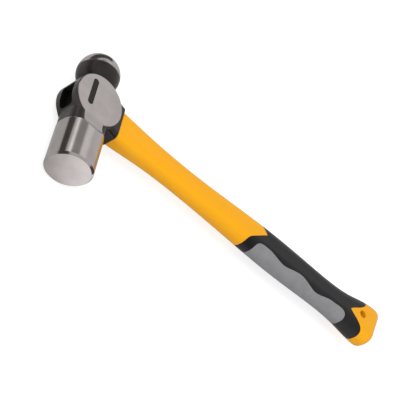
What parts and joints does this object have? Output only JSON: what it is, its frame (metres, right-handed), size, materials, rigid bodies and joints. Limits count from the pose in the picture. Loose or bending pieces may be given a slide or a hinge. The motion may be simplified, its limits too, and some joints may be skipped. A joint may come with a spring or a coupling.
{
  "type": "ball peen hammer",
  "caption": "Ball peen hammer with a forged steel head, a resin-bonded fibreglass core in a yellow jacket, a two-part rubber grip and a hanging hole.",
  "frame": {"origin": "centre of the hammer's footprint as it lies on its side, at the height of the lowest line of the barrel", "axes": "+X along the handle from head to butt, +Y along the head from striking face to ball, +Z square to the cheeks"},
  "size_m": [0.3738, 0.1222, 0.04],
  "materials": {
    "head_steel": "satin polished barrel, cheeks and ball, dark lacquer between them",
    "resin": "black cast resin, glossy",
    "seal_rubber": "matt black",
    "fibreglass": "bare pultruded rod",
    "yellow_plastic": "semi-gloss moulded",
    "black_rubber": "fine matt texture",
    "grey_rubber": "fine matt texture"
  },
  "bodies": {
    "root": {"hammer_head": "head_steel", "eye_resin": "resin", "eye_seal": "seal_rubber", "handle_core": "fibreglass", "handle_jacket": "yellow_plastic", "grip_sleeve": "black_rubber", "grip_insert": "grey_rubber"}
  },
  "joints": []
}
